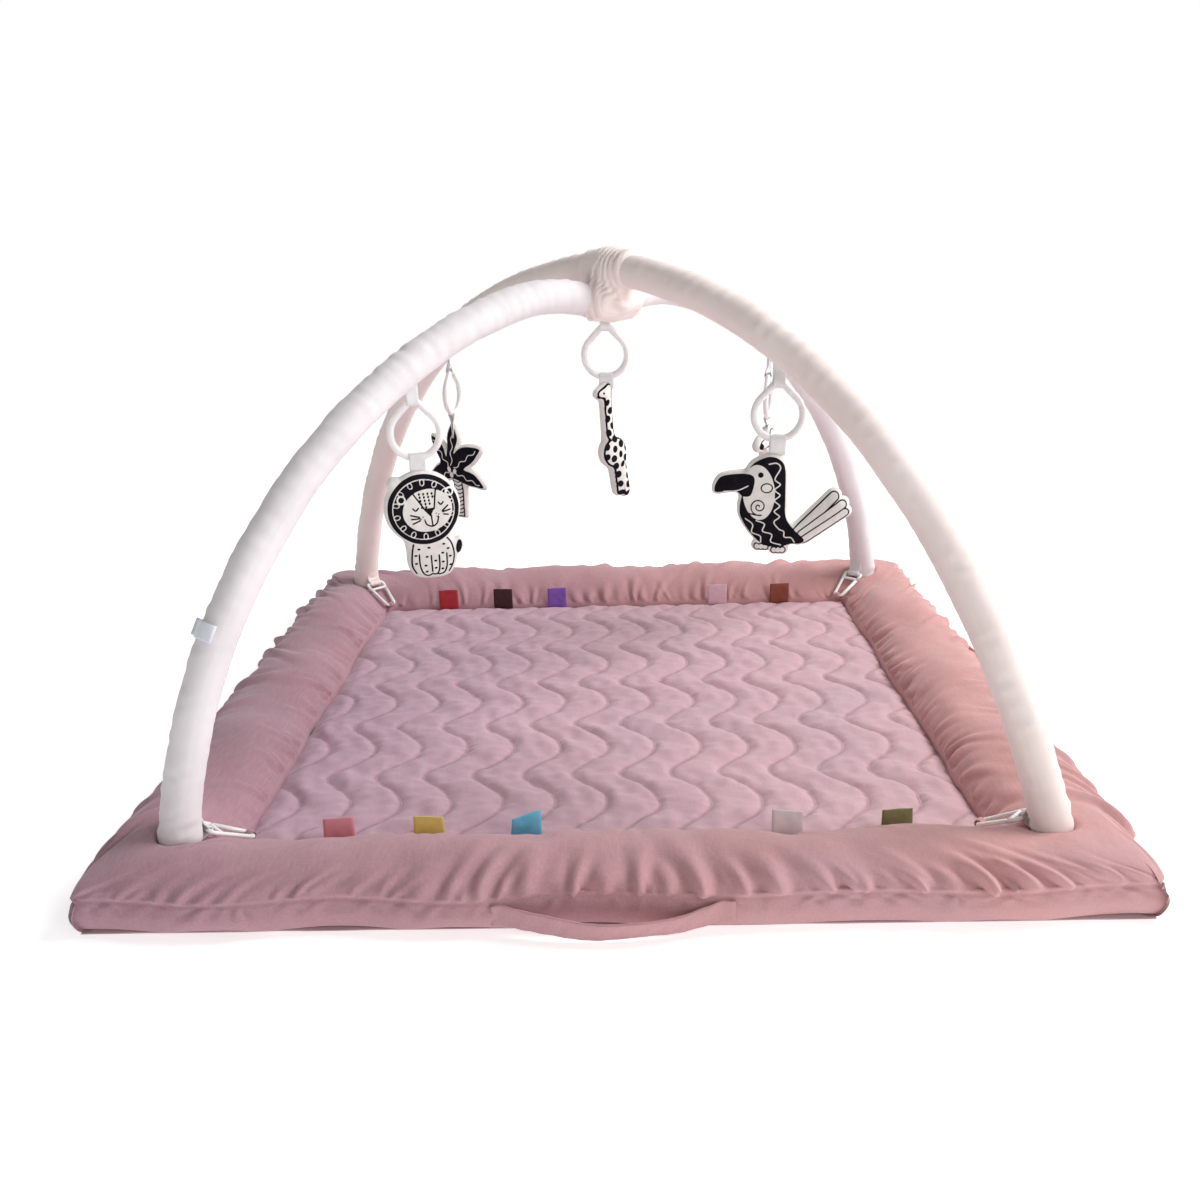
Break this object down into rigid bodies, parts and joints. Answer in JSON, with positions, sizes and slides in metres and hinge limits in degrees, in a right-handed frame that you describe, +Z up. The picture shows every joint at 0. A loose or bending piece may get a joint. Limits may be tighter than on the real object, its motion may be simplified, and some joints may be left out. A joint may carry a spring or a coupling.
{
  "type": "activity play gym",
  "caption": "Square quilted baby mat inside four stuffed bolsters, with two crossing padded arches clipped to its corners and plush animals hanging on plastic rings.",
  "frame": {"origin": "centre of the mat's underside, on the floor", "axes": "+X to the right of the mat, +Y to its back, +Z up"},
  "size_m": [1.1234, 1.1218, 0.654],
  "materials": {
    "mat_cotton": "woven cotton, matte",
    "base_cloth": "plain lining cloth",
    "filling": "polyester filling",
    "sleeve_cotton": "woven cotton, matte",
    "foam": "soft foam",
    "fibreglass": "smooth rod",
    "white_plastic": "moulded, satin",
    "white_ribbon": "satin ribbon",
    "toy_print": "printed black and white cotton",
    "front_tag_pink": "satin ribbon",
    "front_tag_yellow": "satin ribbon",
    "front_tag_blue": "satin ribbon",
    "front_tag_white": "satin ribbon",
    "front_tag_olive": "satin ribbon",
    "back_tag_red": "satin ribbon",
    "back_tag_maroon": "satin ribbon",
    "back_tag_purple": "satin ribbon",
    "back_tag_pink": "satin ribbon",
    "back_tag_brown": "satin ribbon"
  },
  "bodies": {
    "mat": {"base_sheet": "base_cloth", "quilted_mat": "mat_cotton", "front_bolster_cover": "mat_cotton", "front_bolster_filling": "filling", "back_bolster_cover": "mat_cotton", "back_bolster_filling": "filling", "left_bolster_cover": "mat_cotton", "left_bolster_filling": "filling", "right_bolster_cover": "mat_cotton", "right_bolster_filling": "filling", "front_tag_pink": "front_tag_pink", "front_tag_yellow": "front_tag_yellow", "front_tag_blue": "front_tag_blue", "front_tag_white": "front_tag_white", "front_tag_olive": "front_tag_olive", "back_tag_red": "back_tag_red", "back_tag_maroon": "back_tag_maroon", "back_tag_purple": "back_tag_purple", "back_tag_pink": "back_tag_pink", "back_tag_brown": "back_tag_brown", "corner_loop_front_left": "mat_cotton", "corner_loop_front_right": "mat_cotton", "corner_loop_back_left": "mat_cotton", "corner_loop_back_right": "mat_cotton"},
    "arches": {"lower_arch_sleeve": "sleeve_cotton", "lower_arch_padding": "foam", "lower_rod_front_half": "fibreglass", "lower_rod_back_half": "fibreglass", "upper_arch_sleeve": "sleeve_cotton", "upper_arch_padding": "foam", "upper_rod_front_half": "fibreglass", "upper_rod_back_half": "fibreglass", "crossing_wrap": "sleeve_cotton", "sleeve_label": "white_ribbon", "hanger_loop_lion": "white_ribbon", "hanger_loop_palm": "white_ribbon", "hanger_loop_giraffe": "white_ribbon", "hanger_loop_toucan": "white_ribbon", "hanger_loop_zebra": "white_ribbon"},
    "clip_front_left": {"clip_front_left": "white_plastic"},
    "clip_front_right": {"clip_front_right": "white_plastic"},
    "clip_back_left": {"clip_back_left": "white_plastic"},
    "clip_back_right": {"clip_back_right": "white_plastic"},
    "ring_lion": {"ring_lion": "white_plastic"},
    "toy_lion": {"lion": "toy_print", "strap_lion": "white_ribbon"},
    "ring_palm": {"ring_palm": "white_plastic"},
    "toy_palm": {"palm": "toy_print", "strap_palm": "white_ribbon"},
    "ring_giraffe": {"ring_giraffe": "white_plastic"},
    "toy_giraffe": {"giraffe": "toy_print", "strap_giraffe": "white_ribbon"},
    "ring_toucan": {"ring_toucan": "white_plastic"},
    "toy_toucan": {"toucan": "toy_print", "strap_toucan": "white_ribbon"},
    "ring_zebra": {"ring_zebra": "white_plastic"},
    "toy_zebra": {"zebra": "toy_print", "strap_zebra": "white_ribbon"},
    "front_handle": {"front_handle": "mat_cotton"},
    "right_handle": {"right_handle": "mat_cotton"}
  },
  "joints": [
    {"name": "arch_lift", "type": "slide", "parent": "mat", "child": "arches", "axis": [0, 0, 1], "range_m": [0, 0.25], "deforming": ["corner_loop_front_left", "corner_loop_front_right", "corner_loop_back_left", "corner_loop_back_right"]},
    {"name": "clip_front_left_tilt", "type": "hinge", "parent": "arches", "child": "clip_front_left", "pos_m": [-0.44371, -0.44371, 0.064], "axis": [0.7071, -0.7071, 0], "range_deg": [0, 40]},
    {"name": "clip_front_right_tilt", "type": "hinge", "parent": "arches", "child": "clip_front_right", "pos_m": [0.44371, -0.44371, 0.064], "axis": [0.7071, 0.7071, 0], "range_deg": [0, 40]},
    {"name": "clip_back_left_tilt", "type": "hinge", "parent": "arches", "child": "clip_back_left", "pos_m": [-0.44371, 0.44371, 0.064], "axis": [-0.7071, -0.7071, 0], "range_deg": [0, 40]},
    {"name": "clip_back_right_tilt", "type": "hinge", "parent": "arches", "child": "clip_back_right", "pos_m": [0.44371, 0.44371, 0.064], "axis": [-0.7071, 0.7071, 0], "range_deg": [0, 40]},
    {"name": "ring_lion_swing", "type": "hinge", "parent": "arches", "child": "ring_lion", "pos_m": [-0.22212, -0.22212, 0.48814], "axis": [0.9781, 0.2079, 0], "range_deg": [-40, 40]},
    {"name": "toy_lion_swing", "type": "hinge", "parent": "ring_lion", "child": "toy_lion", "pos_m": [-0.22212, -0.22212, 0.45114], "axis": [-0.2079, 0.9781, 0], "range_deg": [-30, 30]},
    {"name": "ring_palm_swing", "type": "hinge", "parent": "arches", "child": "ring_palm", "pos_m": [-0.24529, 0.24529, 0.47051], "axis": [0.2588, 0.9659, 0], "range_deg": [-40, 40]},
    {"name": "toy_palm_swing", "type": "hinge", "parent": "ring_palm", "child": "toy_palm", "pos_m": [-0.24529, 0.24529, 0.43351], "axis": [-0.9659, 0.2588, 0], "range_deg": [-30, 30]},
    {"name": "ring_giraffe_swing", "type": "hinge", "parent": "arches", "child": "ring_giraffe", "pos_m": [0, 0, 0.5505], "axis": [1, 0, 0], "range_deg": [-40, 40]},
    {"name": "toy_giraffe_swing", "type": "hinge", "parent": "ring_giraffe", "child": "toy_giraffe", "pos_m": [0, 0, 0.5135], "axis": [0, 1, 0], "range_deg": [-30, 30]},
    {"name": "ring_toucan_swing", "type": "hinge", "parent": "arches", "child": "ring_toucan", "pos_m": [0.20276, -0.20276, 0.49675], "axis": [1, 0, 0], "range_deg": [-28, 40]},
    {"name": "toy_toucan_swing", "type": "hinge", "parent": "ring_toucan", "child": "toy_toucan", "pos_m": [0.20276, -0.20276, 0.45975], "axis": [0, 1, 0], "range_deg": [-20, 30]},
    {"name": "ring_zebra_swing", "type": "hinge", "parent": "arches", "child": "ring_zebra", "pos_m": [0.25245, 0.25245, 0.45148], "axis": [0.2588, 0.9659, 0], "range_deg": [-40, 40]},
    {"name": "toy_zebra_swing", "type": "hinge", "parent": "ring_zebra", "child": "toy_zebra", "pos_m": [0.25245, 0.25245, 0.41448], "axis": [-0.9659, 0.2588, 0], "range_deg": [-30, 30]},
    {"name": "front_handle_lift", "type": "hinge", "parent": "mat", "child": "front_handle", "pos_m": [0, -0.5504, 0.0355], "axis": [-1, 0, 0], "range_deg": [0, 100]},
    {"name": "right_handle_lift", "type": "hinge", "parent": "mat", "child": "right_handle", "pos_m": [0.5504, 0.09, 0.0355], "axis": [0, -1, 0], "range_deg": [0, 100]}
  ]
}
